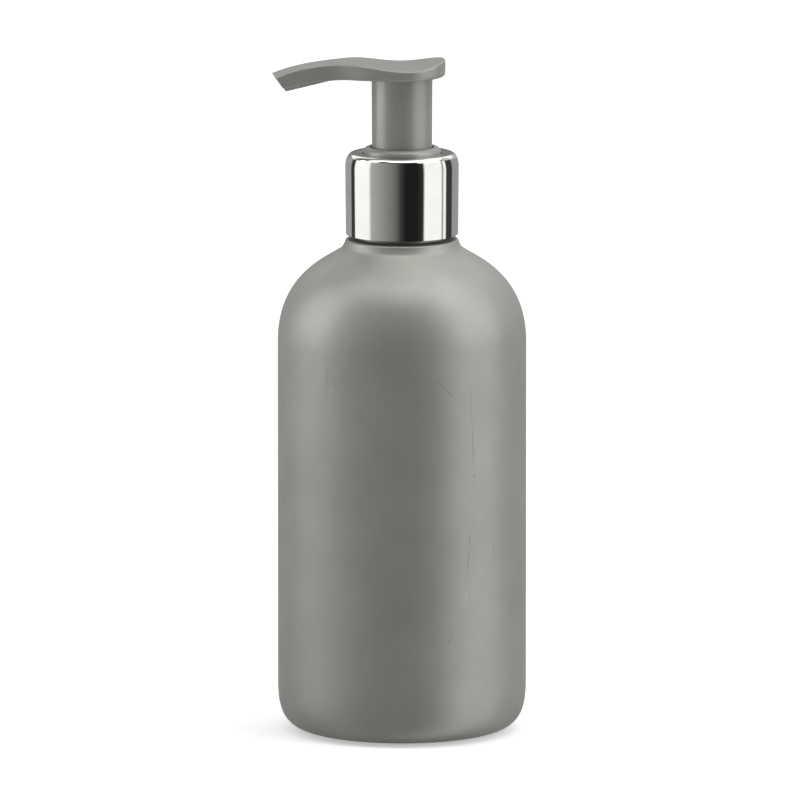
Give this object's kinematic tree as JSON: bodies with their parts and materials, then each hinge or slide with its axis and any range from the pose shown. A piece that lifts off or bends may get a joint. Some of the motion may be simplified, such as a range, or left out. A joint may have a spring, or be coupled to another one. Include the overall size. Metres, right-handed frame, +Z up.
{
  "type": "pump bottle",
  "caption": "Round bottle with a soft shoulder, a bright metal screw collar and a press-down pump whose arched spout turns; inside are the sprung valve pump and its dip tube.",
  "frame": {"origin": "on the bottle's axis, in the plane of the foot ring it stands on", "axes": "+Z up along the bottle's axis, spout along -X, the side seen in the picture faces -Y"},
  "size_m": [0.0625, 0.0614, 0.167],
  "materials": {
    "painted_grey": "soft-touch satin paint over a moulded bottle",
    "moulded_grey": "satin moulded polypropylene",
    "bright_metal": "polished to a mirror",
    "natural_plastic": "uncoloured moulded polypropylene",
    "valve_plastic": "soft polyethylene",
    "liner_foam": "closed-cell foam sheet",
    "spring_steel": "drawn stainless wire and a ground ball",
    "tube_plastic": "uncoloured extruded tube"
  },
  "bodies": {
    "bottle_body": {"bottle": "painted_grey"},
    "gasket_body": {"neck_gasket": "liner_foam"},
    "pump_body": {"housing": "natural_plastic", "chaplet": "moulded_grey", "dip_tube": "tube_plastic", "spring": "spring_steel"},
    "collar_body": {"closure": "moulded_grey", "collar_shell": "bright_metal"},
    "ball_body": {"inlet_ball": "spring_steel"},
    "plunger_body": {"piston_plug": "natural_plastic"},
    "piston_body": {"piston": "valve_plastic"},
    "head_body": {"actuator": "moulded_grey", "stem": "natural_plastic"}
  },
  "joints": [
    {"name": "pump_lift_out", "type": "slide", "parent": "bottle_body", "child": "gasket_body", "axis": [0, 0, 1], "range_m": [0, 0.14]},
    {"name": "unscrew_rise", "type": "slide", "parent": "gasket_body", "child": "pump_body", "axis": [0, 0, 1], "range_m": [0, 0.00476]},
    {"name": "collar_turn", "type": "hinge", "parent": "pump_body", "child": "collar_body", "pos_m": [0, 0, 0.124], "axis": [0, 0, 1], "range_deg": [0, 540]},
    {"name": "inlet_ball_lift", "type": "slide", "parent": "pump_body", "child": "ball_body", "axis": [0, 0, 1], "range_m": [0, 0.0014]},
    {"name": "pump_stroke", "type": "slide", "parent": "pump_body", "child": "plunger_body", "axis": [0, 0, -1], "range_m": [0, 0.0155], "stiffness_N_per_m": 700, "springref_m": -0.003, "deforming": ["spring"]},
    {"name": "piston_travel", "type": "slide", "parent": "pump_body", "child": "piston_body", "axis": [0, 0, -1], "range_m": [0, 0.0143]},
    {"name": "head_turn", "type": "hinge", "parent": "plunger_body", "child": "head_body", "pos_m": [0, 0, 0.1627], "axis": [0, 0, 1], "continuous": true}
  ],
  "couplings": [
    {"joint": "collar_turn", "follows": "unscrew_rise", "rad_per_m": 1979},
    {"joint": "piston_travel", "follows": "pump_stroke", "ratio": 0.92}
  ]
}
